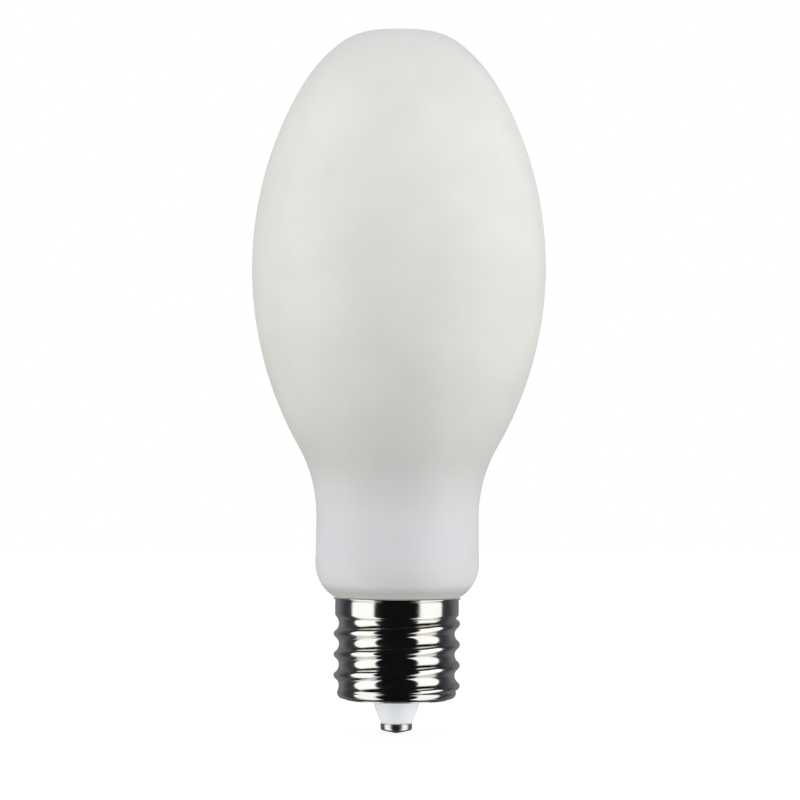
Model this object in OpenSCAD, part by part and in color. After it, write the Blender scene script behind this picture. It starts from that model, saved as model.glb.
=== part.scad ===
// LED lamp with an elliptical opal glass bulb and a mogul screw base.
// It stands on its tip: +Z runs up the lamp's axis, and the origin is the lowest point of the tip.
// The opal bulb is sealed and can't be seen into, so it is one solid of glass.
// The screw base is an assembly: shell, insulator, contact, and the driver that they house.

/* [Glass bulb] */
// Widest diameter of the bulb
bulb_d = 90; // [76:1:106]
// Height of the widest place above the shell's rim
belly_rise = 101; // [85:1:120]
// Height of the flat crown above the shell's rim
crown_rise = 173.7; // [150:0.1:205]
// Diameter of the flat on the crown
crown_flat_d = 13; // [11:0.5:15]
// Radius of the crown's rounded edge
crown_curve = 20; // [17:1:23]
// Fullness of the shoulder: 1 is the plainest curve from crown to belly
shoulder_fullness = 1.06; // [1.01:0.01:1.12]
// Height above the rim at which the belly's hollow curve meets the neck
throat_rise = 25; // [21:0.5:30]
// Radius of the hollow curve between the belly and the neck
throat_curve = 43; // [36:0.5:50]
// Diameter of the neck
neck_d = 49.8; // [42:0.2:58]
// How far the neck swells out at its foot
foot_swell = 0.2; // [0:0.1:0.6]
// Length over which the neck swells to its foot
foot_blend = 7.5; // [6:0.5:9]
// Radius of the neck's rounded foot
foot_curve = 12; // [10:0.2:14]
// Depth of the sealed glass tube below the rim
seal_depth = 9; // [7.5:0.5:10.5]
// Thickness of the cement between the sealed tube and the shell's inner wall
cement_t = 0.8; // [0.65:0.05:0.95]
// Room between the stem wires and the rounded edge of the flare that they enter
flare_room = 0.6; // [0.5:0.05:0.7]
// Height of the flare's closed end above the shell's rim
flare_rise = 13; // [11:0.5:15.5]
// Radius of the flare's closed end at its edge
flare_curve = 3.5; // [3:0.5:4]

/* [Screw shell] */
// Height of the shell, from its flat base to its rim
shell_h = 31.4; // [29:0.1:37]
// Diameter over the thread's crests
thread_d = 38.8; // [32.2:0.1:45.4]
// Depth of the thread from its crests to its roots
thread_h = 1.6; // [1.35:0.05:1.85]
// Pitch of the thread
pitch = 6.35; // [5.4:0.05:7.5]
// Radius of the thread's rounded crest
crest_curve = 1.3; // [1.1:0.1:1.5]
// How far below the rim the top crest lies on the +X side
crest_drop = 8; // [7:0.1:9.4]
// How far the plain skirt lies inside the thread's crests
skirt_inset = 0.4; // [0.3:0.05:0.5]
// Length of the plain skirt
skirt_h = 5; // [4.2:0.1:6]
// How far the rim's lip flares out from the skirt
lip_flare = 0.6; // [0.5:0.05:0.7]
// Thickness of the shell's sheet metal
wall = 0.5; // [0.4:0.05:0.6]
// Radius of the shell's lower corner
corner_curve = 1.8; // [1.5:0.1:2.1]
// Distance from the shell's lower corner to the disc that is pressed out of its base
base_disc_gap = 0.3; // [0.25:0.01:0.35]
// How far the pressed disc stands below the corner
base_step = 0.4; // [0.3:0.05:0.5]
// Gap between the shell and what is fitted into it
shell_fit = 0.15; // [0.12:0.01:0.2]

/* [Insulator] */
// Length of the tapered nose below the shell
nose_h = 7.2; // [6.1:0.1:8.6]
// Diameter of the nose where it leaves the shell
nose_base_d = 14.7; // [12.5:0.1:17.5]
// Diameter of the nose at its tip
nose_tip_d = 9.4; // [9.2:0.1:11.1]
// Thickness of the floor inside the shell
floor_t = 2; // [1.7:0.1:2.4]
// Thickness of the liner that stands inside the shell
liner_t = 1.2; // [1:0.1:1.4]
// Gap between the liner and the thread's roots inside the shell
liner_gap = 0.6; // [0.5:0.05:0.75]
// Height of the liner above the floor
liner_h = 7; // [6:0.5:8.3]
// Height of the ledge that carries the driver board above the floor
ledge_h = 3.5; // [3:0.1:4.1]
// Width of the ledge that carries the driver board
ledge_w = 1.4; // [1.2:0.1:1.6]

/* [Centre contact] */
// Height of the contact from its tip to its rim
contact_h = 3; // [2.7:0.1:3.5]
// Diameter of the contact's cup
contact_d = 9.7; // [9.5:0.1:11.2]
// Thickness of the contact's sheet metal
contact_t = 0.4; // [0.33:0.01:0.47]
// How far the contact's face is dished below its corner
contact_dish = 0.55; // [0.46:0.01:0.64]
// Radius of the contact's corner
contact_curve = 0.7; // [0.6:0.05:0.83]
// Outer diameter of the hollow rivet that holds the contact
rivet_d = 3.2; // [2.7:0.1:3.8]
// Diameter of the rivet's clenched head inside the base
rivet_head_d = 5.4; // [4.5:0.1:6.4]
// Thickness of the solder that stands proud of the contact
solder_h = 0.3; // [0.25:0.01:0.36]
// Diameter of the solder dot
solder_d = 2.8; // [2.6:0.1:3.3]

/* [Driver] */
// Thickness of the driver board
board_t = 1.6; // [1.3:0.1:1.9]
// Gap between the board and the liner around it
board_gap = 0.25; // [0.2:0.01:0.3]
// Distance kept clear along the board's edge
edge_gap = 0.7; // [0.6:0.05:0.85]
// Diameter of the bulk capacitor
capacitor_d = 10; // [8.5:0.5:10.5]
// Height of the bulk capacitor
capacitor_h = 20; // [16.5:0.5:23.5]
// Diameter of the wound choke
choke_d = 6; // [5:0.1:7]
// Height of the wound choke
choke_h = 8; // [6.7:0.1:9.4]
// Width of the film capacitor
film_w = 9.5; // [8:0.1:11.3]
// Depth of the film capacitor
film_d = 4.5; // [3.8:0.1:5.3]
// Height of the film capacitor
film_h = 8.5; // [7.1:0.1:10.1]
// Diameter of the disc varistor
varistor_d = 7; // [5.9:0.1:8.3]
// Thickness of the disc varistor
varistor_t = 3.2; // [2.7:0.1:3.8]
// Diameter of the fusible resistor
fuse_d = 2.6; // [2.2:0.1:3]
// Height of the fusible resistor
fuse_h = 8; // [6.7:0.1:9.5]
// Width of the bridge rectifier
bridge_w = 6.4; // [5.4:0.1:7.6]
// Depth of the bridge rectifier
bridge_d = 4.7; // [4:0.1:5.5]
// Height of the bridge rectifier
bridge_h = 2.5; // [2.1:0.1:2.9]
// Width of the controller chip
chip_w = 4.9; // [4.1:0.1:5.8]
// Depth of the controller chip's body
chip_d = 3.9; // [3.3:0.1:4.6]
// Height of the controller chip
chip_h = 1.5; // [1.3:0.1:1.7]
// Length of the output diode
diode_w = 4.3; // [3.6:0.1:5.1]
// Diameter of the connecting wires
wire_d = 0.9; // [0.75:0.05:1.05]
// Gap between the bulk capacitor and the two wires that pass it on their way to the glass
riser_gap = 1; // [0.8:0.05:1.2]

/* [Hidden] */
$fn = 96;

// Facets round the shell, steps for each pitch of thread outside and inside, and steps for a curve
shell_facets = 60;
outer_steps = 10;
inner_steps = 8;
curve_steps = 16;
// Shares of the board, as angles about the axis, at which the driver's pieces stand
bridge_at = 20;
film_at = 90;
diode_at = 143;
chip_at = 181;
fuse_at = 214;
varistor_at = 249;
sense_at = 290;
choke_at = 331;
riser_at = 55;
shell_wire_at = 160;

// Heights, from the tip upwards
solder_top = solder_h;
base_z = contact_h + nose_h;
rim_z = base_z + shell_h;
skirt_z = rim_z - skirt_h;
corner_z = base_z + base_step + corner_curve;
floor_z = base_z + wall;
floor_top = floor_z + floor_t;
board_z = floor_top + ledge_h;
board_top = board_z + board_t;
seal_z = rim_z - seal_depth;
flare_top = rim_z + flare_rise;

// Radii of the shell, outside and inside
root_r = thread_d / 2 - thread_h;
skirt_r = thread_d / 2 - skirt_inset;
hole_r = nose_base_d / 2 + shell_fit;
disc_r = root_r - corner_curve - base_disc_gap;
bore_r = root_r - wall;
// The thread's crest and root are arcs that meet at one slope, the flank angle
flank = 2 * atan2(thread_h, pitch / 2);
root_curve = (pow(pitch / 2, 2) + pow(thread_h, 2)) / (2 * thread_h) - crest_curve;
crest_z = rim_z - crest_drop;
// The rounded step from skirt to thread, the height over which the thread fades at each end, and
// how far its last trace reaches past the end of the plain skirt
step_h = 1.2;
fade_h = 2.5;
fade_past = 0.6;
lip_t = wall;

// Liner, board and what stands on it
liner_r = bore_r - liner_gap;
liner_bore_r = liner_r - liner_t;
board_r = liner_bore_r - board_gap;
part_r = board_r - edge_gap;
rivet_bore_r = rivet_d / 2 - contact_t;
riser_r = capacitor_d / 2 + riser_gap + wire_d / 2;

// A smooth step from 0 to 1 while x goes from 0 to 1
function smooth(x) = let (t = min(max(x, 0), 1)) t * t * (3 - 2 * t);

// Points of an arc about [x, z], from angle a to angle b
function arc(x, z, r, a, b, steps = curve_steps) =
    [for (i = [0:steps]) let (t = a + (b - a) * i / steps) [x + r * cos(t), z + r * sin(t)]];

// The bulb's outline: every curve is an arc tangent to the next, from the crown down to the seal.
bulb_r = bulb_d / 2;
neck_r = neck_d / 2;
foot_r = neck_r + foot_swell;
seal_r = bore_r - cement_t;
flare_r = riser_r + wire_d / 2 + flare_room + flare_curve;
belly_z = rim_z + belly_rise;
crown_z = rim_z + crown_rise;
throat_z = rim_z + throat_rise;
// Crown edge: its centre stands under the edge of the flat
crown_x = crown_flat_d / 2;
crown_up = crown_z - crown_curve - belly_z;
crown_in = crown_x - bulb_r;
// Upper belly: upright at the widest place. With a fullness of 1 it would be tangent to the
// crown's edge. The shoulder's arc touches both from inside, so its centre is where two circles
// about their centres meet.
upper_curve = shoulder_fullness * (pow(crown_curve, 2) - pow(crown_in, 2) - pow(crown_up, 2))
    / (2 * (crown_in + crown_curve));
shoulder_curve = sqrt(crown_curve * upper_curve);
upper_x = bulb_r - upper_curve;
centre_gap = norm([crown_x - upper_x, crown_up]);
shoulder_end = atan2(crown_up, crown_x - upper_x) - acos(
    (pow(upper_curve - shoulder_curve, 2) + pow(centre_gap, 2) - pow(shoulder_curve - crown_curve, 2))
    / (2 * (upper_curve - shoulder_curve) * centre_gap)
);
shoulder_x = upper_x + (upper_curve - shoulder_curve) * cos(shoulder_end);
shoulder_z = belly_z + (upper_curve - shoulder_curve) * sin(shoulder_end);
crown_end = atan2(belly_z + crown_up - shoulder_z, crown_x - shoulder_x);
// Lower belly: the arc that is upright at the widest place and tangent to the throat
throat_in = neck_r - bulb_r;
throat_down = belly_z - throat_z;
lower_curve = (pow(throat_in, 2) + pow(throat_down, 2)) / (-2 * throat_in) - throat_curve;
throat_tangent = atan2(throat_down, neck_r + throat_curve - bulb_r + lower_curve);
// Foot: the arc that passes just over the lip's inner edge
mouth_r = skirt_r - wall + lip_flare;
foot_x = foot_r - foot_curve;
foot_z = rim_z + shell_fit + sqrt(pow(foot_curve, 2) - pow(mouth_r - foot_x, 2));
foot_end = -acos((seal_r - foot_x) / foot_curve);

bulb_outline = concat(
    [[0, crown_z]],
    arc(crown_x, crown_z - crown_curve, crown_curve, 90, crown_end),
    arc(shoulder_x, shoulder_z, shoulder_curve, crown_end - 1, shoulder_end),
    arc(upper_x, belly_z, upper_curve, shoulder_end - 1, 0, 2 * curve_steps),
    arc(bulb_r - lower_curve, belly_z, lower_curve, -2, -throat_tangent, 2 * curve_steps),
    arc(neck_r + throat_curve, throat_z, throat_curve, 180 - throat_tangent + 2, 180),
    [for (i = [0:8]) [
        neck_r + (foot_r - neck_r) * smooth(i / 8),
        foot_z + foot_blend * (1 - i / 8)
    ]],
    arc(foot_x, foot_z, foot_curve, -4, foot_end),
    [[seal_r, seal_z], [flare_r, seal_z]],
    arc(flare_r - flare_curve, flare_top - flare_curve, flare_curve, 0, 90, 8),
    [[0, flare_top]]
);

module glass_bulb() {
    color("whitesmoke")
        rotate_extrude()
            polygon(bulb_outline);
}

// How far the thread stands over its root, at a distance u along the axis from a crest
function thread_rise(u) =
    abs(u) < crest_curve * sin(flank)
        ? thread_h - crest_curve + sqrt(pow(crest_curve, 2) - u * u)
        : root_curve - sqrt(max(pow(root_curve, 2) - pow(pitch / 2 - abs(u), 2), 0));

// How far the wall stands out from the root radius, at height z and angle a: the rolled
// right-hand thread and the plain skirt, blended where they meet
function shell_rise(z, a) =
    let (
        turns = (z - crest_z) / pitch - a / 360,
        fade = smooth((z - base_z - 1) / fade_h) * smooth((skirt_z + fade_past - z) / fade_h),
        thread = fade * thread_rise((turns - round(turns)) * pitch),
        down = min(max((skirt_z - z) / step_h, 0), 1),
        skirt = (skirt_r - root_r) * (1 - down * down)
    )
    pow(pow(thread, 4) + pow(skirt, 4), 1 / 4);

// A ring of points round the shell. out is how far it lies outside the wall's own surface.
function shell_ring(z, out) =
    [for (i = [0:shell_facets - 1])
        let (a = 360 * i / shell_facets, r = root_r + out + shell_rise(z, a))
        [r * cos(a), r * sin(a), z]];

// A plain ring of points
function plain_ring(r, z) =
    [for (i = [0:shell_facets - 1])
        let (a = 360 * i / shell_facets) [r * cos(a), r * sin(a), z]];

// Heights from the top of a corner up to the foot of the skirt
function thread_levels(bottom, top, steps) =
    let (n = ceil((top - bottom) / pitch * steps))
    [for (i = [0:n]) top + (bottom - top) * i / n];

// The rings run from the lip down the outside, across the base, and up the inside
shell_rings = concat(
    [shell_ring(rim_z, lip_flare), shell_ring(rim_z - lip_t, lip_flare)],
    [shell_ring(rim_z - 1.5 * lip_t, lip_flare / 4), shell_ring(rim_z - 3 * lip_t, 0)],
    [for (z = thread_levels(corner_z, skirt_z + fade_h / 2, outer_steps)) shell_ring(z, 0)],
    [for (p = arc(-corner_curve, corner_z, corner_curve, -22.5, -90, 3))
        shell_ring(p[1], p[0])],
    [plain_ring(disc_r, base_z), plain_ring(hole_r, base_z), plain_ring(hole_r, floor_z)],
    [plain_ring(disc_r - wall, floor_z)],
    [for (p = arc(-corner_curve, corner_z, corner_curve - wall, -90, -30, 2))
        shell_ring(p[1], p[0])],
    [for (z = thread_levels(skirt_z + fade_h / 2, corner_z, inner_steps))
        shell_ring(z, -wall)],
    [shell_ring(rim_z - 3 * lip_t, -wall), shell_ring(rim_z - lip_t, -wall + lip_flare / 4)],
    [shell_ring(rim_z, -wall + lip_flare)]
);

module screw_shell() {
    rings = len(shell_rings);
    color("silver")
        polyhedron(
            points = [for (ring = shell_rings) for (p = ring) p],
            faces = [
                for (i = [0:rings - 1]) for (j = [0:shell_facets - 1])
                let (
                    k = (j + 1) % shell_facets,
                    here = i * shell_facets,
                    next = ((i + 1) % rings) * shell_facets
                )
                each [[here + j, here + k, next + k], [here + j, next + k, next + j]]
            ]
        );
}

// Cement that fills the mouth of the shell between its skirt and the sealed glass tube
module basing_cement() {
    skirt_bore = skirt_r - wall - shell_fit;
    rim_end = -acos((skirt_bore - foot_x) / foot_curve);
    cement_z = seal_z + cement_t;
    color("tan")
        rotate_extrude()
            polygon(concat(
                [[seal_r, cement_z]],
                arc(foot_x, foot_z, foot_curve, foot_end, rim_end, 6),
                [
                    [skirt_bore, skirt_z + step_h + shell_fit],
                    [bore_r - shell_fit, skirt_z - step_h],
                    [bore_r - shell_fit, cement_z]
                ]
            ));
}

// Moulded insulator: a tapered nose, a floor, and a liner whose ledge carries the board
module insulator() {
    spigot_r = contact_d / 2 - contact_t - 0.05;
    spigot_z = solder_top + contact_dish + contact_t + 0.05;
    color("white")
        rotate_extrude()
            polygon([
                [rivet_d / 2, spigot_z],
                [spigot_r, spigot_z + contact_curve / 2],
                [spigot_r, contact_h],
                [nose_tip_d / 2, contact_h],
                [nose_base_d / 2, base_z],
                [nose_base_d / 2, floor_z],
                [disc_r - wall - shell_fit, floor_z],
                [disc_r - wall - shell_fit, floor_z + base_step + shell_fit],
                [root_r - corner_curve - shell_fit, floor_z + base_step + shell_fit],
                [liner_r, corner_z + shell_fit],
                [liner_r, floor_top + liner_h],
                [liner_bore_r, floor_top + liner_h],
                [liner_bore_r, board_z],
                [liner_bore_r - ledge_w, board_z],
                [liner_bore_r - ledge_w, floor_top],
                [rivet_d / 2, floor_top]
            ]);
}

// Drawn contact cup with a hollow rivet that is clenched on the insulator's floor
module centre_contact() {
    cup_r = contact_d / 2;
    face_z = solder_top;
    turn_z = face_z + contact_dish + contact_curve;
    color("silver")
        rotate_extrude()
            polygon(concat(
                [[rivet_bore_r, face_z], [solder_d / 2, face_z]],
                arc(cup_r - contact_curve, turn_z, contact_curve, -80, 0, 8),
                [
                    [cup_r, contact_h],
                    [cup_r - contact_t, contact_h],
                    [cup_r - contact_t, turn_z],
                    [rivet_d / 2, face_z + contact_t],
                    [rivet_d / 2, floor_top],
                    [rivet_head_d / 2, floor_top],
                    [rivet_head_d / 2, floor_top + contact_t],
                    [rivet_bore_r, floor_top + contact_t]
                ]
            ));
}

// Solder that closes the rivet's bore, and is flat where the lampholder presses on it
module tip_solder() {
    flat_r = solder_d / 2 - solder_h;
    plug_z = solder_top + 3 * contact_t;
    color("lightgray")
        rotate_extrude()
            polygon(concat(
                [[0, 0]],
                arc(flat_r, solder_h, solder_h, -90, 0, 6),
                [[rivet_bore_r, solder_top], [rivet_bore_r, plug_z], [0, plug_z]]
            ));
}

module driver_board() {
    color("seagreen")
        translate([0, 0, board_z])
            cylinder(r = board_r, h = board_t);
}

// Distance from the axis to the middle of a piece that is w wide and d deep,
// so that its outer corners lie on the circle that the board's parts keep within
function seat(w, d) = sqrt(pow(part_r, 2) - pow(w / 2, 2)) - d / 2;

// Places its children on the board at an angle and a distance from the axis, facing outwards
module on_board(angle, distance) {
    rotate([0, 0, angle])
        translate([distance, 0, board_top])
            children();
}

// A box that stands on the board, with its depth along X
module standing_box(w, d, h) {
    translate([-d / 2, -w / 2, 0])
        cube([d, w, h]);
}

// Electrolytic capacitor: a can with a rolled groove and a rounded top edge
module bulk_capacitor() {
    r = capacitor_d / 2;
    groove = 0.4;
    color("midnightblue")
        translate([0, 0, board_top])
            rotate_extrude()
                polygon(concat(
                    [[0, 0], [r, 0], [r, 1.5], [r - groove, 2], [r - groove, 2.4], [r, 2.9]],
                    arc(r - 0.8, capacitor_h - 0.8, 0.8, 0, 90, 6),
                    [[0, capacitor_h]]
                ));
}

// Choke: a ferrite drum with its winding between two flanges
module wound_choke() {
    r = choke_d / 2;
    flange = 1.2;
    color("dimgray")
        on_board(choke_at, part_r - r)
            rotate_extrude()
                polygon([
                    [0, 0], [r, 0], [r, flange], [r - 0.6, flange + 0.3],
                    [r - 0.6, choke_h - flange - 0.3], [r, choke_h - flange], [r, choke_h],
                    [0, choke_h]
                ]);
}

module film_capacitor() {
    color("gold")
        on_board(film_at, seat(film_w, film_d))
            standing_box(film_w, film_d, film_h);
}

// Varistor: a disc that stands on edge on its two short legs
module disc_varistor() {
    leg_h = 1;
    color("royalblue")
        on_board(varistor_at, seat(varistor_d, varistor_t)) {
            translate([-varistor_t / 2, 0, leg_h + varistor_d / 2])
                rotate([0, 90, 0])
                    cylinder(d = varistor_d, h = varistor_t);
            for (side = [-1, 1])
                translate([side * varistor_t / 4, side * varistor_d / 4, 0])
                    cylinder(d = 0.7, h = leg_h + varistor_d / 2);
        }
}

module fusible_resistor() {
    cap_h = 1.2;
    color("sandybrown")
        on_board(fuse_at, part_r - fuse_d / 2) {
            cylinder(d = fuse_d, h = cap_h);
            cylinder(d = 0.8 * fuse_d, h = fuse_h);
            translate([0, 0, fuse_h - cap_h])
                cylinder(d = fuse_d, h = cap_h);
        }
}

module bridge_rectifier() {
    lead_w = 0.8;
    color("black")
        on_board(bridge_at, seat(bridge_w, bridge_d)) {
            translate([0, 0, 0.2])
                standing_box(bridge_w, 0.75 * bridge_d, bridge_h);
            for (side = [-1, 1])
                translate([0, side * bridge_w / 4, 0])
                    standing_box(lead_w, bridge_d, 0.6);
        }
}

module controller_chip() {
    color("black")
        on_board(chip_at, seat(chip_w, chip_d)) {
            translate([0, 0, 0.15])
                standing_box(chip_w, 0.7 * chip_d, chip_h);
            for (i = [-1.5:1.5])
                translate([0, i * chip_w / 4, 0])
                    standing_box(0.45, chip_d, 0.5);
        }
}

module output_diode() {
    color("black")
        on_board(diode_at, seat(diode_w, diode_w / 2)) {
            translate([0, 0, 0.1])
                standing_box(0.85 * diode_w, diode_w / 2, diode_w / 2);
            standing_box(diode_w, diode_w / 4, diode_w / 4);
        }
}

// Two chip resistors side by side that sense the current
module sense_resistors() {
    chip = [1.6, 3.2, 0.6];
    color("black")
        on_board(sense_at, seat(chip[1], 2.5 * chip[0]))
            for (side = [-1, 1])
                translate([side * 0.75 * chip[0], 0, 0])
                    standing_box(chip[1], chip[0], chip[2]);
}

// A round wire through a list of points, with its bends rounded
module wire(points) {
    for (i = [0:len(points) - 2]) {
        run = points[i + 1] - points[i];
        translate(points[i])
            rotate([0, acos(run[2] / norm(run)), atan2(run[1], run[0])])
                cylinder(d = wire_d, h = norm(run), $fn = 24);
        if (i > 0)
            translate(points[i])
                sphere(d = wire_d, $fn = 24);
    }
}

// The live wire hangs from the board and reaches the solder inside the rivet
module live_wire() {
    color("firebrick")
        wire([[0, 0, board_z], [0, 0, solder_top + 3 * contact_t]]);
}

// The other supply wire rises from the board and bends out to a root of the thread
module shell_wire() {
    start_r = liner_bore_r - board_gap - wire_d;
    over_liner = floor_top + liner_h + wire_d;
    root_at = crest_z + pitch * shell_wire_at / 360 - pitch / 2;
    turns_down = floor((root_at - over_liner) / pitch);
    weld_z = root_at - turns_down * pitch;
    color("firebrick")
        rotate([0, 0, shell_wire_at])
            wire([[start_r, 0, board_top], [start_r, 0, weld_z], [bore_r - shell_fit, 0, weld_z]]);
}

// One wire that rises from the board to the closed end of the flare
module stem_wire(angle) {
    color("gainsboro")
        rotate([0, 0, angle])
            wire([[riser_r, 0, board_top], [riser_r, 0, flare_top]]);
}

module stem_wire_plus() {
    stem_wire(riser_at);
}

module stem_wire_minus() {
    stem_wire(riser_at + 180);
}

glass_bulb();
screw_shell();
basing_cement();
insulator();
centre_contact();
tip_solder();
driver_board();
bulk_capacitor();
wound_choke();
film_capacitor();
disc_varistor();
fusible_resistor();
bridge_rectifier();
controller_chip();
output_diode();
sense_resistors();
live_wire();
shell_wire();
stem_wire_plus();
stem_wire_minus();
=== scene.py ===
# %% [markdown]
# An opal LED bulb on a mogul screw base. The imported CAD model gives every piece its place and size.
# Here the pieces that show get finer surfaces and real finishes, then a plain studio and a camera
# at the photograph's viewing angle. The first cell loads the frame and keeps its box.

# %% Load the frame
import bpy
import math
import numpy as np
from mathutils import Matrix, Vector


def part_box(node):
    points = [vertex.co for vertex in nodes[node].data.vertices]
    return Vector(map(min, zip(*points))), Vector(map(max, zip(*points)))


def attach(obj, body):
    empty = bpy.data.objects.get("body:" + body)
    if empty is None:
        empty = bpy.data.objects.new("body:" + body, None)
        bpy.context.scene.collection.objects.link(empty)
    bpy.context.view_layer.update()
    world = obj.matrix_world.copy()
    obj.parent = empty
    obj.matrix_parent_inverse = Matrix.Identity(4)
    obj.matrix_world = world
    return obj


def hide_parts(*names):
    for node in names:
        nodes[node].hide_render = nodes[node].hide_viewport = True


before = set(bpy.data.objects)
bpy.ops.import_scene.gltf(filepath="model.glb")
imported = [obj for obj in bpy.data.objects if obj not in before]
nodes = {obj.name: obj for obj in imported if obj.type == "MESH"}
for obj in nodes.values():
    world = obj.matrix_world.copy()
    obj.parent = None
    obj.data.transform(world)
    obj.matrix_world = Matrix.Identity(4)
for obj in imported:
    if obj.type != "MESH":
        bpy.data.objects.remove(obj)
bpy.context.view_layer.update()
MM = 0.001

# %% [markdown]
# Every size below is in millimetres, from the tip upwards. Most are the ones in the part's
# source. A few are finer here: the outline of the lip, the step under the skirt, the plain band
# at the bottom of the shell, and how close the glass sits on the rim. The rim is the top edge of
# the screw shell. Heights that the frame knows are read from it.

# %% Sizes read from the frame
shell_low, shell_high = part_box("screw_shell")
glass_low, glass_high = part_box("glass_bulb")
BASE_Z = shell_low.z / MM
RIM_Z = shell_high.z / MM
CROWN_Z = glass_high.z / MM
BULB_R = glass_high.x / MM
SEAL_Z = glass_low.z / MM
print(f"base {BASE_Z:.2f}, rim {RIM_Z:.2f}, crown {CROWN_Z:.2f}, bulb radius {BULB_R:.2f} mm")

# %% [markdown]
# The pieces are surfaces of revolution and one screw surface. Both are grids of points: one
# direction runs along a profile and the other round the axis. Blender's Spin or Screw modifier
# could make them, but a grid worked out with numpy puts each point exactly where a formula says,
# and the thread's radius has to change with the angle, which Spin can't do.

# %% Helpers for profiles and grids
def arc(x, z, r, start, end, steps):
    """Points at x + r cos t, z + r sin t, with t in degrees from start to end."""
    t = np.radians(np.linspace(start, end, steps + 1))
    return np.stack([x + r * np.cos(t), z + r * np.sin(t)], axis=1)


def smooth(x):
    """3t^2 - 2t^3, with t kept between 0 and 1: a step with level ends."""
    t = np.clip(x, 0, 1)
    return t * t * (3 - 2 * t)


def evenly(profile, spacing):
    """The same line with points no further apart than spacing, its corners kept."""
    legs = np.linalg.norm(np.diff(profile, axis=0), axis=1)
    counts = np.maximum(1, np.ceil(legs / spacing).astype(int))
    at = np.concatenate([np.arange(n) / n + i for i, n in enumerate(counts)] + [[len(counts)]])
    whole = np.arange(len(profile))
    return np.stack([np.interp(at, whole, profile[:, k]) for k in (0, 1)], axis=1)


def closed_grid(name, grid, poles=()):
    """A mesh from rings of points, grid[ring, step]. Each ring closes on itself. With two poles
    the ends close in fans, and without poles the last ring joins the first."""
    rings, steps = grid.shape[:2]
    here = np.arange(rings * steps).reshape(rings, steps)
    right = np.roll(here, -1, axis=1)
    rows = slice(0, rings - 1) if len(poles) else slice(0, rings)
    below = np.roll(here, -1, axis=0)
    below_right = np.roll(right, -1, axis=0)
    quads = np.stack([here[rows], right[rows], below_right[rows], below[rows]], axis=-1)
    faces = quads.reshape(-1, 4).tolist()
    points = grid.reshape(-1, 3)
    if len(poles):
        first = rings * steps
        points = np.concatenate([points, poles])
        faces += np.stack([np.full(steps, first), right[0], here[0]], axis=1).tolist()
        faces += np.stack([np.full(steps, first + 1), here[-1], right[-1]], axis=1).tolist()
    mesh = bpy.data.meshes.new(name)
    mesh.from_pydata((points * MM).tolist(), [], faces)
    mesh.shade_smooth()
    piece = bpy.data.objects.new(name, mesh)
    bpy.context.scene.collection.objects.link(piece)
    print(f"{name}: {len(points)} points, {len(faces)} faces")
    return piece


def revolve(name, profile, steps):
    """Turns a profile of (r, z) points round the axis: x = r cos a, y = r sin a. A profile that
    starts and ends on the axis gets a pole at each end, and any other is a closed loop."""
    on_axis = profile[0, 0] < 1e-6 and profile[-1, 0] < 1e-6
    line = profile[1:-1] if on_axis else profile
    a = np.linspace(0, 2 * np.pi, steps, endpoint=False)
    r, z = line[:, :1], line[:, 1:]
    grid = np.stack([r * np.cos(a), r * np.sin(a), np.broadcast_to(z, (len(line), steps))], axis=2)
    poles = [[0, 0, profile[0, 1]], [0, 0, profile[-1, 1]]] if on_axis else ()
    return closed_grid(name, grid, poles)


# %% [markdown]
# The bulb is blown in a mould, then its neck is drawn in and sealed to the stem. Its outline is
# a chain of arcs, each tangent to the next: a flat crown, a rounded edge, a shoulder, the belly,
# a hollow throat, a straight neck and a rounded foot. One arc for the whole side would look like
# a capsule; the shoulder's tighter arc is what gives this form its egg-like shoulders.

# %% The bulb's outline
CROWN_FLAT_R = 6.5
CROWN_CURVE = 20.0
SHOULDER_FULLNESS = 1.06
BELLY_Z = RIM_Z + 101.0
THROAT_Z = RIM_Z + 25.0
THROAT_CURVE = 43.0
NECK_R = 24.9
FOOT_R = 25.1
FOOT_BLEND = 7.5
FOOT_CURVE = 12.0
SEAL_R = 16.5
FLARE_R = 10.95
FLARE_CURVE = 3.5
FLARE_TOP = RIM_Z + 13.0
MOUTH_R = 19.1
FOOT_GAP = 0.05
SEAL_EDGE = 0.6
JOIN = 0.5
FOOT_JOIN = 2.0
EDGE_STEPS, SIDE_STEPS, HOLLOW_STEPS, FLARE_STEPS = 24, 60, 40, 10


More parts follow.
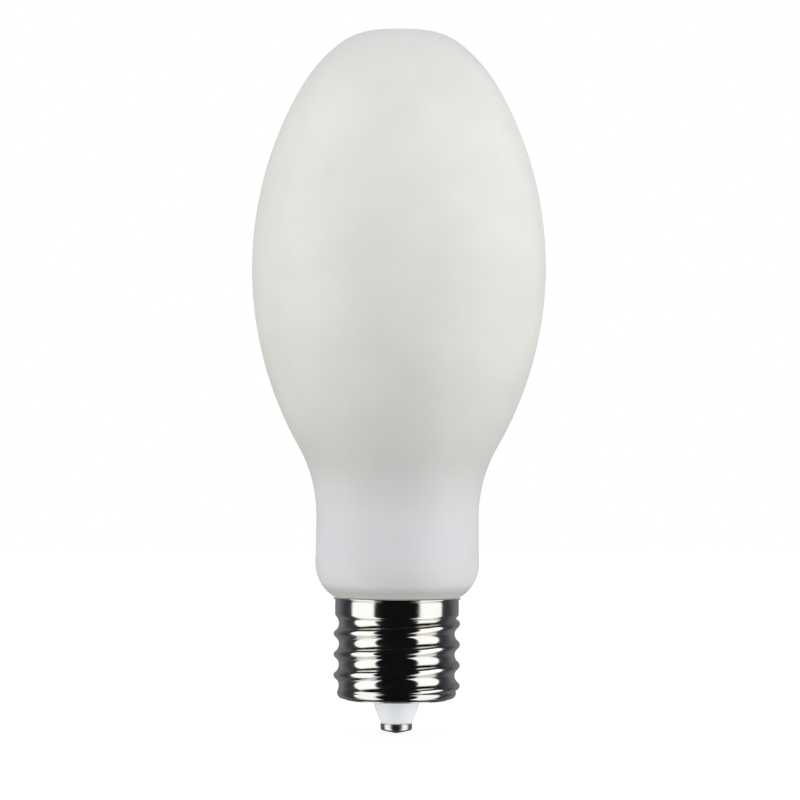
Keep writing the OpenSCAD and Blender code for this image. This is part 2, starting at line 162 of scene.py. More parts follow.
def bulb_outline():
    """The profile from the crown down the outside, under the seal and up into the hollow stem.
    An arc that follows another starts a small angle, JOIN, past the point that they share."""
    up = CROWN_Z - CROWN_CURVE - BELLY_Z
    inward = CROWN_FLAT_R - BULB_R
    plain = (CROWN_CURVE**2 - inward**2 - up**2) / (2 * (inward + CROWN_CURVE))
    upper = SHOULDER_FULLNESS * plain
    shoulder = math.sqrt(CROWN_CURVE * upper)
    upper_x = BULB_R - upper
    gap = math.hypot(CROWN_FLAT_R - upper_x, up)
    reach = upper - shoulder
    bend = math.acos((reach**2 + gap**2 - (shoulder - CROWN_CURVE)**2) / (2 * reach * gap))
    join = math.atan2(up, CROWN_FLAT_R - upper_x) - bend
    shoulder_x = upper_x + reach * math.cos(join)
    shoulder_z = BELLY_Z + reach * math.sin(join)
    edge = math.degrees(math.atan2(BELLY_Z + up - shoulder_z, CROWN_FLAT_R - shoulder_x))
    join = math.degrees(join)
    drawn_in = NECK_R - BULB_R
    down = BELLY_Z - THROAT_Z
    lower = (drawn_in**2 + down**2) / (-2 * drawn_in) - THROAT_CURVE
    turn = math.degrees(math.atan2(down, NECK_R + THROAT_CURVE - BULB_R + lower))
    foot_x = FOOT_R - FOOT_CURVE
    foot_z = RIM_Z + FOOT_GAP + math.sqrt(FOOT_CURVE**2 - (MOUTH_R - foot_x)**2)
    foot_end = -math.degrees(math.acos((SEAL_R - foot_x) / FOOT_CURVE))
    t = np.linspace(0, 1, 13)
    swell = np.stack([NECK_R + (FOOT_R - NECK_R) * smooth(t), foot_z + FOOT_BLEND * (1 - t)], axis=1)
    return np.concatenate([
        [[0, CROWN_Z]],
        arc(CROWN_FLAT_R, CROWN_Z - CROWN_CURVE, CROWN_CURVE, 90, edge, EDGE_STEPS),
        arc(shoulder_x, shoulder_z, shoulder, edge - JOIN, join, EDGE_STEPS),
        arc(upper_x, BELLY_Z, upper, join - JOIN, 0, SIDE_STEPS),
        arc(BULB_R - lower, BELLY_Z, lower, -JOIN, -turn, SIDE_STEPS),
        arc(NECK_R + THROAT_CURVE, THROAT_Z, THROAT_CURVE, 180 - turn + JOIN, 180, HOLLOW_STEPS),
        swell,
        arc(foot_x, foot_z, FOOT_CURVE, -FOOT_JOIN, foot_end, HOLLOW_STEPS),
        [[SEAL_R, SEAL_Z + SEAL_EDGE], [SEAL_R - 0.2, SEAL_Z + 0.15], [SEAL_R - SEAL_EDGE, SEAL_Z]],
        [[FLARE_R + 0.4, SEAL_Z], [FLARE_R, SEAL_Z + 0.4]],
        arc(FLARE_R - FLARE_CURVE, FLARE_TOP - FLARE_CURVE, FLARE_CURVE, 0, 90, FLARE_STEPS),
        [[0, FLARE_TOP]],
    ])


outline = bulb_outline()
BULB_SPACING, BULB_STEPS = 2.0, 192
bulb = revolve("opal_bulb", evenly(outline, BULB_SPACING), BULB_STEPS)
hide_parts("glass_bulb")
print("widest at", round(float(outline[outline[:, 0].argmax(), 1]), 1), "mm above the tip")

# %% [markdown]
# The screw shell is drawn from thin sheet, and its thread is rolled in, so the inside follows
# the outside. The thread is narrow at the crests and wide at the roots, both as arcs that meet
# at one slope. A right-hand thread climbs by one pitch in each turn, so at angle a the crests
# lie a/360 of a pitch higher. The thread fades into the skirt above and into a plain band below.
# Under the lip, which is beaded outwards, runs a fine groove.

# %% Sizes of the screw shell
PITCH = 6.35
THREAD_H = 1.6
CREST_CURVE = 1.3
CREST_Z = RIM_Z - 8.0
WALL = 0.5
LIP_FLARE = 0.6
SKIRT_INSET = 0.4
SKIRT_R = (shell_high.x - shell_low.x) / MM / 2 - LIP_FLARE
ROOT_R = SKIRT_R + SKIRT_INSET - THREAD_H
SKIRT_Z = RIM_Z - 5.0
STEP_H = 1.2
FADE_H = 2.5
FADE_FROM = 1.5
FADE_PAST = 0.6
BAND_RISE = 0.5
BAND_Z = BASE_Z + 3.4
CORNER_CURVE = 1.8
BASE_STEP = 0.4
CORNER_Z = BASE_Z + BASE_STEP + CORNER_CURVE
DISC_GAP = 0.3
DISC_R = ROOT_R - CORNER_CURVE - DISC_GAP
FIT = 0.15
NOSE_R = 7.35
HOLE_R = NOSE_R + FIT
print(f"thread over crests {2 * (ROOT_R + THREAD_H):.2f} mm, roots {2 * ROOT_R:.2f} mm")

# %% The thread's height over its root
flank = 2 * math.atan2(THREAD_H, PITCH / 2)
root_curve = PITCH / 2 / math.sin(flank) - CREST_CURVE


def thread_rise(u):
    """Height over the root at a distance u along the axis from a crest: one arc over the crest,
    and one arc through the root, which meet at the flank angle."""
    u = np.abs(u)
    crest = THREAD_H - CREST_CURVE + np.sqrt(np.maximum(CREST_CURVE**2 - u**2, 0))
    root = root_curve - np.sqrt(np.maximum(root_curve**2 - (PITCH / 2 - u)**2, 0))
    return np.where(u < CREST_CURVE * math.sin(flank), crest, root)


def shell_rise(z, a):
    """How far the wall stands out from the root radius at height z and angle a, in radians:
    the fourth-power mean of the faded thread, the skirt and the plain band at the bottom."""
    turns = (z - CREST_Z) / PITCH - a / (2 * np.pi)
    fade = smooth((z - BASE_Z - FADE_FROM) / FADE_H)
    fade = fade * smooth((SKIRT_Z + FADE_PAST - z) / FADE_H)
    thread = fade * thread_rise((turns - np.round(turns)) * PITCH)
    skirt = (SKIRT_R - ROOT_R) * np.sqrt(1 - np.clip((SKIRT_Z - z) / STEP_H, 0, 1)**2)
    band = BAND_RISE * smooth((BAND_Z - z) / STEP_H)
    return (thread**4 + skirt**4 + band**4)**0.25


# %% The shell's profile, as height and distance outside its wall
lip_out = np.array([
    [RIM_Z - 1.30, 0.00], [RIM_Z - 1.06, 0.00], [RIM_Z - 0.97, -0.03], [RIM_Z - 0.85, -0.12],
    [RIM_Z - 0.78, -0.14], [RIM_Z - 0.71, -0.06], [RIM_Z - 0.62, 0.17], [RIM_Z - 0.52, 0.38],
    [RIM_Z - 0.42, 0.54], [RIM_Z - 0.33, 0.59],
    [RIM_Z - 0.24, LIP_FLARE], [RIM_Z - 0.08, LIP_FLARE], [RIM_Z - 0.02, 0.57], [RIM_Z, 0.5],
])
lip_in = np.array([
    [RIM_Z, LIP_FLARE - WALL], [RIM_Z - 0.15, LIP_FLARE - WALL - 0.05],
    [RIM_Z - 0.4, -0.25], [RIM_Z - 0.9, -WALL],
])
OUTER_STEPS, INNER_STEPS = 28, 14
low_z = np.arange(CORNER_Z, RIM_Z - 1.5, PITCH / OUTER_STEPS)
inner_z = np.arange(CORNER_Z, RIM_Z - 1.2, PITCH / INNER_STEPS)
corner_out = arc(-CORNER_CURVE, CORNER_Z, CORNER_CURVE, -8, -90, 12)
corner_in = arc(-CORNER_CURVE, CORNER_Z, CORNER_CURVE - WALL, -90, -8, 8)
wall_outside = np.concatenate([
    lip_out[::-1], np.stack([low_z[::-1], 0 * low_z], axis=1), corner_out[:, ::-1],
])
disc = np.array([
    [DISC_R + 0.12, BASE_Z + BASE_STEP - 0.02], [DISC_R + 0.03, BASE_Z + BASE_STEP - 0.1],
    [DISC_R, BASE_Z + 0.16], [DISC_R - 0.05, BASE_Z + 0.05], [DISC_R - 0.16, BASE_Z],
    [DISC_R - 0.6, BASE_Z], [DISC_R - 3, BASE_Z], [HOLE_R + 1, BASE_Z], [HOLE_R + 0.2, BASE_Z],
    [HOLE_R, BASE_Z + 0.15], [HOLE_R, BASE_Z + WALL], [HOLE_R + 1, BASE_Z + WALL],
    [DISC_R - WALL, BASE_Z + WALL],
])
wall_inside = np.concatenate([
    corner_in[:, ::-1], np.stack([inner_z, 0 * inner_z - WALL], axis=1), lip_in[::-1],
])
print("rings:", len(wall_outside) + len(disc) + len(wall_inside))

# %% The shell as one closed grid
SHELL_STEPS = 288
angles = np.linspace(0, 2 * np.pi, SHELL_STEPS, endpoint=False)


def wall_rings(profile):
    """Rings of (height, distance outside the wall): r = root + distance + rise(z, a)."""
    z = np.broadcast_to(profile[:, :1], (len(profile), SHELL_STEPS))
    r = ROOT_R + profile[:, 1:] + shell_rise(z, angles)
    return np.stack([r * np.cos(angles), r * np.sin(angles), z], axis=2)


def plain_rings(profile):
    """Rings of (radius, height) that don't depend on the angle."""
    r, z = profile[:, :1], np.broadcast_to(profile[:, 1:], (len(profile), SHELL_STEPS))
    return np.stack([r * np.cos(angles), r * np.sin(angles), z], axis=2)


shell_grid = np.concatenate([wall_rings(wall_outside), plain_rings(disc), wall_rings(wall_inside)])
shell = closed_grid("threaded_shell", shell_grid)
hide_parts("screw_shell")

# %% [markdown]
# The plate isn't the same all over the thread, so the material has to know where it is. Each
# point of the shell carries its height over the root as an attribute, from 0 in the root to 1 on
# the crest. A second one marks the steep upper flanks of the top turns, where a yellow reflection
# is painted. A third says how much duller the plate is made there. A pattern on Object
# coordinates could not follow the helix so simply.

# %% Mark crests, roots and the painted reflection
GLINT_SLOPE_FROM = 0.8
GLINT_SLOPE_OVER = 0.4
GLINT_DULLING = 0.14
GLINT_LOW = RIM_Z - 24.0
GLINT_FADE = 12.0
rise = np.zeros(shell_grid.shape[:2])
outside = len(wall_outside)
wall_rise = shell_rise(np.broadcast_to(wall_outside[:, :1], (outside, SHELL_STEPS)), angles)
rise[:outside] = wall_rise / THREAD_H
# The second mark is where a yellow reflection is painted: the steep upper flanks of the top turns.
thin = np.zeros(rise.shape)
slope = np.gradient(wall_rise, wall_outside[:, 0], axis=0)
upper = smooth((wall_outside[:, :1] - GLINT_LOW) / GLINT_FADE)
thin[:outside] = upper * smooth((-slope - GLINT_SLOPE_FROM) / GLINT_SLOPE_OVER)
for name, values in (("crest", rise), ("thin", thin), ("wear", GLINT_DULLING * thin)):
    mark = shell.data.attributes.new(name, "FLOAT", "POINT")
    mark.data.foreach_set("value", values.ravel().astype(np.float32))
print("crest mark up to", round(float(rise.max()), 2), "and thin plate up to", round(float(thin.max()), 2))

# %% [markdown]
# The insulator is one moulding. Only its tapered nose shows, and it carries the contact. A
# moulding has no knife edges, so its nose gets small rounded edges and a slight fullness.

# %% The insulator
floor_z = BASE_Z + WALL
insulator_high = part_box("insulator")[1]
contact_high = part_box("centre_contact")[1]
LINER_R = insulator_high.x / MM
LINER_TOP = insulator_high.z / MM
CONTACT_TOP = 3.0
NOSE_TIP_R = 4.7
SPIGOT_R = 4.4
RIVET_R = 1.6
FLOOR_T = 2.0
FLOOR_TOP = floor_z + FLOOR_T
LEDGE_H = 3.5
LEDGE_Z = FLOOR_TOP + LEDGE_H
LINER_T = 1.2
LEDGE_W = 1.4
LEDGE_R = LINER_R - LINER_T - LEDGE_W
STEP_R = DISC_R - WALL - FIT
STEP_Z = floor_z + BASE_STEP + FIT
FULLNESS = 0.15
nose_t = np.linspace(0, 1, 17)
nose_side = np.stack([
    NOSE_TIP_R + (NOSE_R - NOSE_TIP_R) * nose_t + FULLNESS * np.sin(np.pi * nose_t),
    CONTACT_TOP + (BASE_Z - CONTACT_TOP) * nose_t,
], axis=1)
insulator_profile = np.concatenate([
    [[RIVET_R, 1.35], [SPIGOT_R, 1.65], [SPIGOT_R, CONTACT_TOP]],
    [[NOSE_TIP_R - 0.12, CONTACT_TOP + 0.005], [NOSE_TIP_R + 0.02, CONTACT_TOP + 0.12]],
    nose_side[1:],
    [[NOSE_R, floor_z], [STEP_R, floor_z], [STEP_R, STEP_Z]],
    [[ROOT_R - CORNER_CURVE - FIT, STEP_Z], [LINER_R, CORNER_Z + FIT], [LINER_R, LINER_TOP]],
    [[LINER_R - LINER_T, LINER_TOP], [LINER_R - LINER_T, LEDGE_Z], [LEDGE_R, LEDGE_Z]],
    [[LEDGE_R, FLOOR_TOP], [RIVET_R, FLOOR_TOP]],
])
NOSE_STEPS = 128
nose = revolve("insulator_moulding", evenly(insulator_profile, 1.0)[::-1], NOSE_STEPS)
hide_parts("insulator")

# %% [markdown]
# The contact is a small drawn cup with a dished face. Its hollow rivet goes up through the
# insulator, and solder closes it from below. The solder sets as a low dome that is not quite
# round, so its radius wanders a little with the angle.

# %% The centre contact and its solder
CUP_R = contact_high.x / MM
FACE_Z = 0.3
RIVET_BORE_R = 1.2
DOT_R = 1.4
CUP_T = 0.4
CUP_CURVE = 0.7
CUP_TURN_Z = 1.55
RIVET_HEAD_R = 2.7
PLUG_Z = 1.5
contact_profile = np.concatenate([
    [[RIVET_BORE_R, FACE_Z], [DOT_R, FACE_Z], [2.4, 0.42], [3.4, 0.64]],
    arc(CUP_R - CUP_CURVE, CUP_TURN_Z, CUP_CURVE, -74, 0, 12),
    [[CUP_R, 2.7], [CUP_R - 0.04, 2.92], [CUP_R - 0.14, CONTACT_TOP]],
    [[CUP_R - CUP_T, CONTACT_TOP], [CUP_R - CUP_T, CUP_TURN_Z]],
    [[RIVET_R, 0.72], [RIVET_R, FLOOR_TOP], [RIVET_HEAD_R, FLOOR_TOP]],
    [[RIVET_HEAD_R, FLOOR_TOP + CUP_T], [RIVET_BORE_R, FLOOR_TOP + CUP_T]],
])
cup = revolve("contact_cup", evenly(contact_profile, 0.5)[::-1], NOSE_STEPS)
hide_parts("centre_contact")
DOT_POWER = 2.6
dot_t = np.linspace(0, 1, 14)
dot_profile = np.concatenate([
    np.stack([DOT_R * dot_t, FACE_Z * (1 - np.sqrt(1 - dot_t**DOT_POWER))], axis=1),
    [[RIVET_BORE_R, FACE_Z + 0.01], [RIVET_BORE_R, PLUG_Z], [0, PLUG_Z]],
])
dot = revolve("solder_dot", dot_profile[::-1], 64)
points = np.empty(len(dot.data.vertices) * 3)
dot.data.vertices.foreach_get("co", points)
points = points.reshape(-1, 3)
turn = np.arctan2(points[:, 1], points[:, 0])
low = points[:, 2] < 0.99 * FACE_Z * MM
wander = 0.05 + 0.04 * np.sin(2 * turn + 0.6) + 0.02 * np.sin(5 * turn)
points[:, :2] *= 1 - (low * wander)[:, None]
dot.data.vertices.foreach_set("co", points.ravel())
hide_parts("tip_solder")
print("solder dome", round(float(2 * DOT_R), 2), "mm wide")

# %% [markdown]
# Finishes. Each starts from what the real surface is. Colours are written as sRGB hex values, as
# they would be read off a photograph, and one function turns them to the linear values that the
# shader wants. One small helper adds a node, sets it and links it.

# %% Helpers for finishes
def srgb(text):
    """sRGB hex to linear: v/12.92 up to 0.04045, else ((v + 0.055) / 1.055)^2.4, and an alpha of 1."""
    values = np.array([int(text[i:i + 2], 16) for i in (1, 3, 5)]) / 255
    linear = np.where(values <= 0.04045, values / 12.92, ((values + 0.055) / 1.055)**2.4)
    return (*linear.tolist(), 1.0)


def add(tree, kind, links=None, **settings):
    """Adds a node, sets its properties and inputs, and links its inputs from other sockets."""
    node = tree.nodes.new(kind)
    for key, value in settings.items():
        if hasattr(node, key):
            setattr(node, key, value)
        else:
            node.inputs[key.replace("_", " ")].default_value = value
    for key, source in (links or {}).items():
        tree.links.new(source, node.inputs[key])
    return node


def new_finish(name, **settings):
    """A Principled material and its tree, shader and Object coordinates."""
    material = bpy.data.materials.new(name)
    material.use_nodes = True
    tree = material.node_tree
    shader = tree.nodes["Principled BSDF"]
    for key, value in settings.items():
        shader.inputs[key.replace("_", " ")].default_value = value
    place = add(tree, "ShaderNodeTexCoord").outputs["Object"]
    return material, tree, shader, place


def scale_for(size_mm):
    """A noise's Scale for specks of a size in mm: a speck is 1 / Scale metres wide."""
    return 1 / (size_mm * MM)


def ramp(tree, source, stops):
    """A colour ramp through (position, hex colour) stops."""
    node = add(tree, "ShaderNodeValToRGB", {"Fac": source})
    while len(node.color_ramp.elements) < len(stops):
        node.color_ramp.elements.new(0.5)
    for element, (position, colour) in zip(node.color_ramp.elements, stops):
        element.position = position
        element.color = srgb(colour)
    return node.outputs["Color"]


# %% [markdown]
# Opal glass, blown and coated inside with a white powder. Light goes a few millimetres in and
# comes out milky, so it has no hard shading, and the outside adds only a weak, soft gloss. The
# colour depends on height alone, so it is a ramp along Z. Part of it is the glass's own tint: the
# yellow of the light source shows faintly through the belly, and the neck, with nothing behind
# it, is cooler. Part of it is painted shade and painted light: the lower belly and throat are
# painted darker and the upper bulb lighter, and a dark band on the foot just above the lip is
# partly the cement showing through and partly painted shadow of the lip. The coating is a little
# uneven, as faint clouds 18 mm wide, and the skin has low waves 6 mm long. In the photograph the
# thread mirrors the dark room and none of the bulb above it, so the bulb is hidden from mirrors.

# %% Opal glass
opal, tree, shader, place = new_finish(
    "opal_coated_glass", Roughness=0.5, IOR=1.5, Specular_IOR_Level=0.35,
    Subsurface_Weight=0.3, Subsurface_Scale=6 * MM)
shader.inputs["Subsurface Radius"].default_value = (1.0, 0.97, 0.92)
height = add(tree, "ShaderNodeSeparateXYZ", {"Vector": place}).outputs["Z"]
along = add(tree, "ShaderNodeMapRange", {"Value": height},
            From_Min=RIM_Z * MM, From_Max=CROWN_Z * MM).outputs["Result"]
# Painted shade and light in this ramp: lower belly and throat darker, upper bulb lighter, and the band just
# above the lip darker, partly cement and partly painted shadow.
tint_and_painted_shade = ramp(tree, along, [
    (0.000, "#E2E1DC"), (0.010, "#C4C1BD"), (0.026, "#DADADC"), (0.080, "#DADBDE"),
    (0.150, "#DBDBDE"), (0.235, "#D3D2D0"), (0.330, "#DBD9D4"), (0.480, "#E4E2DD"),
    (0.640, "#E7E6E3"), (0.860, "#E9E8E5"), (1.000, "#E0E0DF"),
])
cloud = add(tree, "ShaderNodeTexNoise", {"Vector": place}, Scale=scale_for(18.2), Detail=3.0).outputs["Fac"]
veil = ramp(tree, cloud, [(0.30, "#F8F8F7"), (0.72, "#FFFFFF")])
milk = add(tree, "ShaderNodeMix", data_type="RGBA", blend_type="MULTIPLY")
milk.inputs["Factor"].default_value = 1.0
tree.links.new(tint_and_painted_shade, milk.inputs["A"])
tree.links.new(veil, milk.inputs["B"])
tree.links.new(milk.outputs["Result"], shader.inputs["Base Color"])
skin = add(tree, "ShaderNodeTexNoise", {"Vector": place}, Scale=scale_for(6.25), Detail=2.0).outputs["Fac"]
wave = add(tree, "ShaderNodeBump", {"Height": skin}, Strength=0.06, Distance=0.4 * MM)
tree.links.new(wave.outputs["Normal"], shader.inputs["Normal"])
bulb.data.materials.append(opal)
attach(bulb, "root")
bulb.visible_glossy = False
print("opal glass from", round(RIM_Z, 1), "to", round(CROWN_Z, 1), "mm")

# %% [markdown]
# Nickel plate over rolled brass sheet. Bright nickel is a mirror, and in the photograph the
# thread's flanks are a shade creamier than its roots and crests. The rolls leave fine lines round
# the shell, about 0.2 mm apart, which draw the reflections out a little, and its gloss varies in
# blotches 4 mm wide. On the upper flanks of the top turns the colour is mixed towards a pale
# yellow, a painted reflection, and the gloss there is a little duller. The contact cup is pressed
# and handled, so it is duller all over.

# %% Bright nickel plate
nickel, tree, shader, place = new_finish("bright_nickel_plate", Metallic=1.0)
crest = add(tree, "ShaderNodeAttribute", attribute_name="crest").outputs["Fac"]
plate = ramp(tree, crest, [
    (0.0, "#DBDBDA"), (0.3, "#D6D4CC"), (0.6, "#D7D5CE"), (0.9, "#DEDEDD"),
])
# Painted reflection: the upper flanks of the top turns are mixed towards a pale yellow.
painted_glint_mask = add(tree, "ShaderNodeAttribute", attribute_name="thin").outputs["Fac"]
plate_with_painted_glint = add(tree, "ShaderNodeMix", data_type="RGBA")
plate_with_painted_glint.inputs["B"].default_value = srgb("#F4EED4")
tree.links.new(painted_glint_mask, plate_with_painted_glint.inputs["Factor"])
tree.links.new(plate, plate_with_painted_glint.inputs["A"])
tree.links.new(plate_with_painted_glint.outputs["Result"], shader.inputs["Base Color"])
blotch = add(tree, "ShaderNodeTexNoise", {"Vector": place}, Scale=scale_for(4.17), Detail=4.0)
dull = add(tree, "ShaderNodeMapRange", {"Value": blotch.outputs["Fac"]},
           From_Min=0.3, From_Max=0.75, To_Min=0.085, To_Max=0.16)
worn = add(tree, "ShaderNodeAttribute", attribute_name="wear").outputs["Fac"]
roughness = add(tree, "ShaderNodeMath", {0: dull.outputs["Result"], 1: worn}, operation="ADD")
tree.links.new(roughness.outputs["Value"], shader.inputs["Roughness"])
stretched = add(tree, "ShaderNodeMapping", {"Vector": place})
stretched.inputs["Scale"].default_value = (scale_for(16.7), scale_for(16.7), scale_for(0.2))
lines = add(tree, "ShaderNodeTexNoise", {"Vector": stretched.outputs["Vector"]},
            Scale=1.0, Detail=2.0).outputs["Fac"]
rolled = add(tree, "ShaderNodeBump", {"Height": lines}, Strength=0.05, Distance=0.1 * MM)
tree.links.new(rolled.outputs["Normal"], shader.inputs["Normal"])
for piece in (shell, cup):
    piece.data.materials.append(nickel)
    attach(piece, "root")
CUP_WEAR = 0.17
for name, value in (("crest", 0.0), ("wear", CUP_WEAR)):
    mark = cup.data.attributes.new(name, "FLOAT", "POINT")
    mark.data.foreach_set("value", np.full(len(cup.data.vertices), value, np.float32))
print("nickel on", shell.name, "and", cup.name)

# %% [markdown]
# White moulded insulator: a heat-proof moulding with a smooth skin of low gloss and a grain of
# about 1.4 mm. It is a little translucent, so its edges look softer than paint. Its colour is
# painted a shade darker towards the contact and lighter and bluer towards the shell: painted
# shade at the tip and painted light under the shell's base, to even out how the light falls.

# %% White moulding
white, tree, shader, place = new_finish(
    "white_heatproof_moulding", Roughness=0.5, IOR=1.5, Specular_IOR_Level=0.35,
    Subsurface_Weight=0.15, Subsurface_Scale=2 * MM)
grain = add(tree, "ShaderNodeTexNoise", {"Vector": place}, Scale=scale_for(1.43), Detail=3.0).outputs["Fac"]
height = add(tree, "ShaderNodeSeparateXYZ", {"Vector": place}).outputs["Z"]
along = add(tree, "ShaderNodeMapRange", {"Value": height},
            From_Min=CONTACT_TOP * MM, From_Max=BASE_Z * MM).outputs["Result"]
# Painted shade and light: darker towards the contact, lighter and bluer under the shell's base.
skin = ramp(tree, along, [(0.0, "#EBEFF2"), (0.5, "#F4F8FA"), (1.0, "#FBFDFE")])
tree.links.new(skin, shader.inputs["Base Color"])
fine = add(tree, "ShaderNodeBump", {"Height": grain}, Strength=0.06, Distance=0.1 * MM)
tree.links.new(fine.outputs["Normal"], shader.inputs["Normal"])
nose.data.materials.append(white)
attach(nose, "root")
print("white moulding on", nose.name)

# %% [markdown]
# Solder sets with a frosted skin, because its crystals freeze at different times. The frost is
# drawn with specks of 0.7 mm, coarser than the real ones, so that it shows.

# %% Solder
solder, tree, shader, place = new_finish("dull_solder", Metallic=1.0)
frost = add(tree, "ShaderNodeTexNoise", {"Vector": place}, Scale=scale_for(0.667), Detail=4.0).outputs["Fac"]
frosted = ramp(tree, frost, [(0.3, "#A3ACB5"), (0.7, "#C3CAD1")])
tree.links.new(frosted, shader.inputs["Base Color"])
dull = add(tree, "ShaderNodeMapRange", {"Value": frost}, To_Min=0.28, To_Max=0.5)
tree.links.new(dull.outputs["Result"], shader.inputs["Roughness"])
dot.data.materials.append(solder)
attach(dot, "root")
print("solder on", dot.name)

# %% [markdown]
# The pieces inside the screw base keep their CAD shapes. Nothing of them shows, but each still
# gets the finish of the real thing, because the base may be shown opened. They differ in colour,
# gloss and grain only, so one function makes them: a noise of a given grain drives a small
# change of colour, a change of roughness and a slight bump.

# %% Finishes inside the base
ROUGH_SPREAD = 0.06


def cad_finish(name, node_names, dark, light, rough, grain_mm, bump, metallic=0.0):
    """A grained finish: grain_mm is the size of its specks."""
    material, tree, shader, place = new_finish(name, Metallic=metallic, IOR=1.5)
    specks = add(tree, "ShaderNodeTexNoise", {"Vector": place},
                 Scale=scale_for(grain_mm), Detail=4.0).outputs["Fac"]
    colour = ramp(tree, specks, [(0.32, dark), (0.68, light)])
    tree.links.new(colour, shader.inputs["Base Color"])
    gloss = add(tree, "ShaderNodeMapRange", {"Value": specks},
                To_Min=rough - ROUGH_SPREAD, To_Max=rough + ROUGH_SPREAD)
    tree.links.new(gloss.outputs["Result"], shader.inputs["Roughness"])
    relief = add(tree, "ShaderNodeBump", {"Height": specks}, Strength=bump, Distance=0.2 * MM)
    tree.links.new(relief.outputs["Normal"], shader.inputs["Normal"])
    for node_name in node_names:
        materials = nodes[node_name].data.materials
        materials.clear()
        materials.append(material)
    print(name, "on", ", ".join(node_names))


cad_finish("fired_basing_cement", ["basing_cement"], "#A8946C", "#CDBB93", 0.85, 0.8, 0.5)
cad_finish("masked_board_laminate", ["driver_board"], "#1E5B3A", "#2C7850", 0.38, 1.2, 0.1)
cad_finish("capacitor_sleeve", ["bulk_capacitor"], "#141D36", "#1D2A4B", 0.3, 3.0, 0.05)
cad_finish("ferrite_and_copper", ["wound_choke"], "#2B2624", "#4A3A30", 0.5, 0.5, 0.4)
cad_finish("moulded_film_box", ["film_capacitor"], "#C9982C", "#D9AC42", 0.35, 1.5, 0.08)
cad_finish("dipped_epoxy", ["disc_varistor"], "#1D4A94", "#2A5CAC", 0.25, 2.0, 0.1)
cad_finish("lacquered_ceramic", ["fusible_resistor"], "#B9966A", "#CBAA80", 0.4, 1.0, 0.15)
cad_finish("black_moulded_resin", [
    "bridge_rectifier", "controller_chip", "output_diode", "sense_resistors",
], "#161618", "#242427", 0.55, 0.4, 0.15)
cad_finish("heatproof_sleeve", ["live_wire", "shell_wire"], "#8E1F18", "#A82B20", 0.6, 0.6, 0.2)
cad_finish("tinned_wire", ["stem_wire_plus", "stem_wire_minus"], "#B4B4AE", "#D2D2CC", 0.3, 0.4, 0.1, 1.0)

# %% [markdown]
# The studio. The photograph was lit by two tall soft panels, one on each side, in front of a
# white background, with a dark room behind the camera. The mirror of the shell shows this. A
# cylinder turns a reflection by twice the angle of its surface, so the places of its white bands
# give the panels: from 43 to 92 degrees to each side of the camera. The thread's flanks show
# how far they go up and down, and the white table under them. Lamps could make the panels, but
# they would stand in the way of other views, so they are drawn in the world, infinitely far.
# Each light is a patch of sky between two angles round and two angles up, with a soft edge.

# %% Helpers for the world
world = bpy.data.worlds.new("studio")
bpy.context.scene.world = world
world.use_nodes = True
tree = world.node_tree
tree.nodes.clear()
direction = add(tree, "ShaderNodeSeparateXYZ",
                {"Vector": add(tree, "ShaderNodeTexCoord").outputs["Generated"]}).outputs


def calc(operation, *values):
    """One Math node: each value is a number or a socket."""
    node = add(tree, "ShaderNodeMath", operation=operation)
    for i, value in enumerate(values):
        if isinstance(value, (int, float)):
            node.inputs[i].default_value = value
        else:
            tree.links.new(value, node.inputs[i])
    return node.outputs[0]


def step_up(value, at, soft):
    """0 below at and 1 above it, in degrees, with a soft edge of that width to each side."""
    low, high = math.radians(at - soft), math.radians(at + soft)
    return add(tree, "ShaderNodeMapRange", {"Value": value}, interpolation_type="SMOOTHSTEP",
               From_Min=low, From_Max=high).outputs["Result"]


def between(value, low, high, low_soft, high_soft):
    """1 where value lies from low to high, in degrees, with a soft edge at each end."""
    return calc("SUBTRACT", step_up(value, low, low_soft), step_up(value, high, high_soft))


# %% What metal mirrors: panels, table, backdrop and room
PANEL_LEVEL = 1.4
TABLE_LEVEL = 1.0
GLOW_LEVEL = 0.17
FLANK_LEVEL = 0.05
ROOM_LEVEL = 0.008
PANEL_ROUND, PANEL_UP = (43, 92, 2.5, 2.5), (-64, 38, 5, 8)
TABLE_ROUND, TABLE_UP = (92, 115, 2.5, 6), (-70, -43, 4, 7)
GLOW_ROUND, GLOW_UP = (127, 171, 20, 2), (-35, 30, 22, 22)
FLANK_FROM, FLANK_UP = (92, 2.5), (-50, 45, 10, 12)
BACKDROP_FROM, BACKDROP_UP = (171, 2), (-8, 25, 4, 5)
toward_camera = calc("MULTIPLY", direction["Y"], -1.0)
azimuth = calc("ARCTAN2", calc("ABSOLUTE", direction["X"]), toward_camera)
elevation = calc("ARCSINE", direction["Z"])
panel = calc("MULTIPLY", between(azimuth, *PANEL_ROUND), between(elevation, *PANEL_UP))
table = calc("MULTIPLY", between(azimuth, *TABLE_ROUND), between(elevation, *TABLE_UP))
glow = calc("MULTIPLY", between(azimuth, *GLOW_ROUND), between(elevation, *GLOW_UP))
flank = calc("MULTIPLY", step_up(azimuth, *FLANK_FROM), between(elevation, *FLANK_UP))
backdrop = calc("MULTIPLY", step_up(azimuth, *BACKDROP_FROM), between(elevation, *BACKDROP_UP))
mirrored = calc("ADD", calc("MULTIPLY", panel, PANEL_LEVEL), calc("MULTIPLY", table, TABLE_LEVEL))
mirrored = calc("ADD", mirrored, calc("MULTIPLY", glow, GLOW_LEVEL))
mirrored = calc("ADD", mirrored, calc("MULTIPLY", flank, FLANK_LEVEL))
mirrored = calc("ADD", calc("ADD", mirrored, backdrop), ROOM_LEVEL)
print("panels", PANEL_ROUND[:2], "degrees round and", PANEL_UP[:2], "degrees up")

# %% [markdown]
# The camera sees plain white. Matt surfaces also get a soft even fill, as from pale walls and a
# pale ceiling, a little stronger from above and from the right. The room's own light is dim and
# bluish, beside which the panels are white.

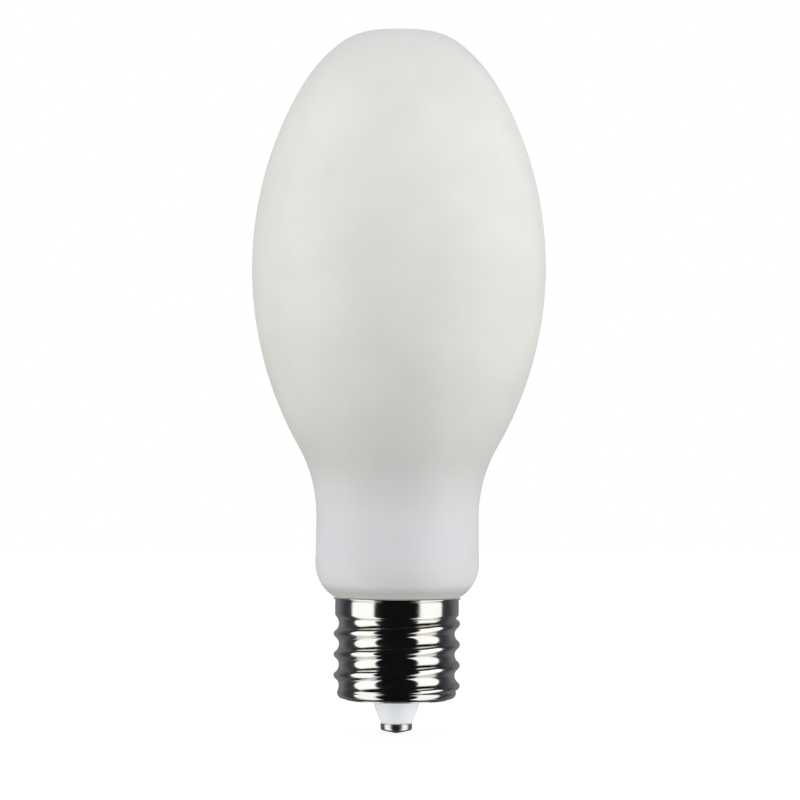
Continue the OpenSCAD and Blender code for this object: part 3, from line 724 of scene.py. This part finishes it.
# %% Mix them for each kind of ray
PANELS_ON_MATT = 0.65
FILL_LEVEL = 0.83
FILL_ABOVE = 0.2
FILL_RIGHT = 0.1
FILL_FRONT = 0.03
rays = add(tree, "ShaderNodeLightPath").outputs
fill = calc("ADD", 1.0, calc("MULTIPLY", direction["Z"], FILL_ABOVE))
fill = calc("ADD", fill, calc("MULTIPLY", direction["X"], FILL_RIGHT))
fill = calc("ADD", fill, calc("MULTIPLY", toward_camera, FILL_FRONT))
fill = calc("MULTIPLY", fill, FILL_LEVEL)
on_matt = calc("SUBTRACT", 1.0, calc("MULTIPLY", rays["Is Diffuse Ray"], 1 - PANELS_ON_MATT))
filled = calc("MULTIPLY", rays["Is Diffuse Ray"], fill)
received = calc("ADD", calc("MULTIPLY", mirrored, on_matt), filled)
other = calc("MULTIPLY", calc("SUBTRACT", 1.0, rays["Is Camera Ray"]), received)
strength = calc("ADD", rays["Is Camera Ray"], other)
tint = ramp(tree, strength, [(0.0, "#E2EAF6"), (0.4, "#FFFFFF")])
light = add(tree, "ShaderNodeBackground", {"Strength": strength, "Color": tint})
add(tree, "ShaderNodeOutputWorld", {"Surface": light.outputs["Background"]})
print("panels at", PANEL_LEVEL, "and fill at", FILL_LEVEL)

# %% [markdown]
# The floor is a plain pale sheet under the tip. To the camera it is mostly as white as the
# background, and the rest is lit paint, so the lamp's soft shadow stays on it. The world already
# holds the table's light, so the floor itself is hidden from the lamp's mirror and matt rays.

# %% The floor
FLOOR_HALF = 1.5
FLOOR_Z = -0.2 * MM
WHITE_SHARE = 0.8
WHITE_STRENGTH = 1.1
floor_mesh = bpy.data.meshes.new("floor")
floor_mesh.from_pydata([(x * FLOOR_HALF, y * FLOOR_HALF, FLOOR_Z)
                        for x, y in ((-1, -1), (1, -1), (1, 1), (-1, 1))], [], [(0, 1, 2, 3)])
floor = bpy.data.objects.new("floor", floor_mesh)
bpy.context.scene.collection.objects.link(floor)
floor.visible_glossy = False
floor.visible_diffuse = False
paint = bpy.data.materials.new("white_paper_floor")
paint.use_nodes = True
tree = paint.node_tree
tree.nodes.clear()
matt = add(tree, "ShaderNodeBsdfDiffuse", Color=srgb("#F4F4F4"))
glow = add(tree, "ShaderNodeEmission", Color=srgb("#FFFFFF"), Strength=WHITE_STRENGTH)
rays = add(tree, "ShaderNodeLightPath").outputs
share = add(tree, "ShaderNodeMath", {0: rays["Is Camera Ray"]}, operation="MULTIPLY")
share.inputs[1].default_value = WHITE_SHARE
mixed = add(tree, "ShaderNodeMixShader",
            {0: share.outputs[0], 1: matt.outputs["BSDF"], 2: glow.outputs["Emission"]})
add(tree, "ShaderNodeOutputMaterial", {"Surface": mixed.outputs["Shader"]})
floor.data.materials.append(paint)
print("floor", 2 * FLOOR_HALF, "m wide")

# %% [markdown]
# The camera stands level, about 1.23 m away, which follows from the perspective in the
# photograph: the lip and the base sag a little, so the camera is above them, and the sizes of
# that sag give its distance. The lamp leans by a third of a degree, which the camera's roll gives.

# %% The camera
PHOTO_WIDTH = 245.3
CAMERA_AWAY = 1230.0
CAMERA_UP = 102.1
CAMERA_SIDE = 0.55
LEAN = math.radians(0.34)
SENSOR = 36.0
camera_data = bpy.data.cameras.new("camera")
camera_data.sensor_width = SENSOR
camera_data.lens = SENSOR * CAMERA_AWAY / PHOTO_WIDTH
camera_data.clip_start = 0.05
camera_data.clip_end = 20.0
camera = bpy.data.objects.new("camera", camera_data)
bpy.context.scene.collection.objects.link(camera)
camera.location = (CAMERA_SIDE * MM, -CAMERA_AWAY * MM, CAMERA_UP * MM)
camera.rotation_euler = (math.pi / 2, -LEAN, 0)
bpy.context.scene.camera = camera
print("lens", round(camera_data.lens, 1), "mm")

# %% View transform
bpy.context.scene.view_settings.view_transform = "Standard"
